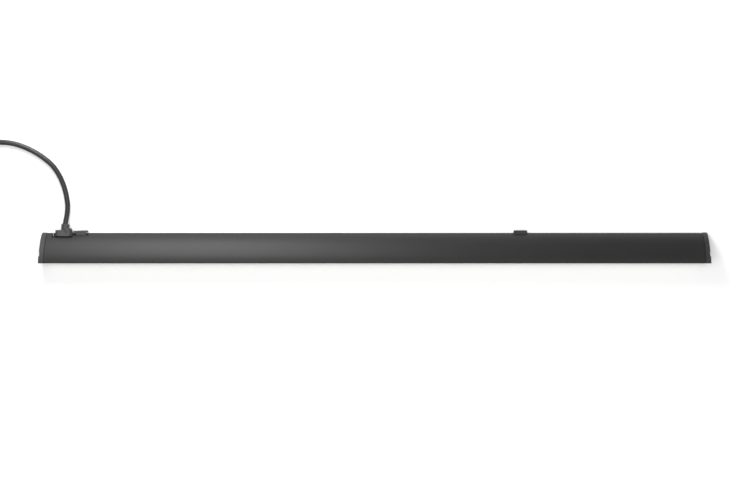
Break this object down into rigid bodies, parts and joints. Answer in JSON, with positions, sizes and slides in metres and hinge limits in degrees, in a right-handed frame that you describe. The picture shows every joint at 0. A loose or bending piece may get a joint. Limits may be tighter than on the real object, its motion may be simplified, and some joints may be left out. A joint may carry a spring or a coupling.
{
  "type": "vanity light bar",
  "caption": "Slim black light bar with a curved extruded housing, opal lens, rocker switch, sliding clip and a plug-in mains cord.",
  "frame": {"origin": "middle of the bar's mounting face, half way between the lens and the rocker key's tip", "axes": "+X along the bar away from the cord, +Y towards the cord edge, +Z out of the mounting face"},
  "size_m": [1.0623, 0.169, 0.032],
  "materials": {
    "black_paint": "satin powder coat",
    "black_plastic": "fine moulded texture",
    "black_rubber": "matt",
    "opal_lens": "satin opal",
    "white_board": "solder mask",
    "green_board": "solder mask",
    "black_steel": "black oxide",
    "bright_steel": "zinc plated",
    "brass": "plated",
    "white_plastic": "moulded",
    "black_clip": "satin black",
    "cord_jacket": "satin round jacket",
    "plug_black": "moulded matt",
    "brown_wire": "insulation",
    "blue_wire": "insulation",
    "green_wire": "insulation",
    "red_wire": "insulation",
    "black_wire": "insulation"
  },
  "bodies": {
    "bar": {"housing": "black_paint", "lens": "opal_lens", "end_cap_left": "black_plastic", "end_cap_right": "black_plastic", "end_gasket_left": "black_rubber", "end_gasket_right": "black_rubber", "led_board_left": "white_board", "led_board_right": "white_board", "cap_screw_left_1": "black_steel", "cap_screw_left_2": "black_steel", "cap_screw_right_1": "black_steel", "cap_screw_right_2": "black_steel", "board_screw_1": "bright_steel", "board_screw_2": "bright_steel", "board_screw_3": "bright_steel", "board_screw_4": "bright_steel", "board_link": "white_plastic", "driver_tray": "white_plastic", "driver_cover": "white_plastic", "driver_board": "green_board", "terminal_block": "white_plastic", "earth_screw": "brass", "cord_entry_block": "black_plastic", "cord_gland": "black_plastic", "switch_case": "black_plastic", "switch_pin": "bright_steel", "cord": "cord_jacket", "cord_coil": "cord_jacket", "cord_tail": "cord_jacket", "plug_moulding": "plug_black", "plug_blade_1": "brass", "plug_blade_2": "brass", "plug_earth_pin": "brass", "wire_live": "brown_wire", "wire_switched": "brown_wire", "wire_driver_live": "brown_wire", "wire_neutral": "blue_wire", "wire_driver_neutral": "blue_wire", "wire_earth": "green_wire", "led_lead_positive": "red_wire", "led_lead_negative": "black_wire"},
    "switch_key": {"switch_key": "black_plastic"},
    "mounting_clip": {"mounting_clip": "black_clip"}
  },
  "joints": [
    {"name": "switch_rock", "type": "hinge", "parent": "bar", "child": "switch_key", "pos_m": [-0.3963, 0.01161, 0.0062], "axis": [0, 0, 1], "range_deg": [-5, 0]},
    {"name": "clip_slide", "type": "slide", "parent": "bar", "child": "mounting_clip", "axis": [1, 0, 0], "range_m": [-0.57, 0.235]}
  ]
}
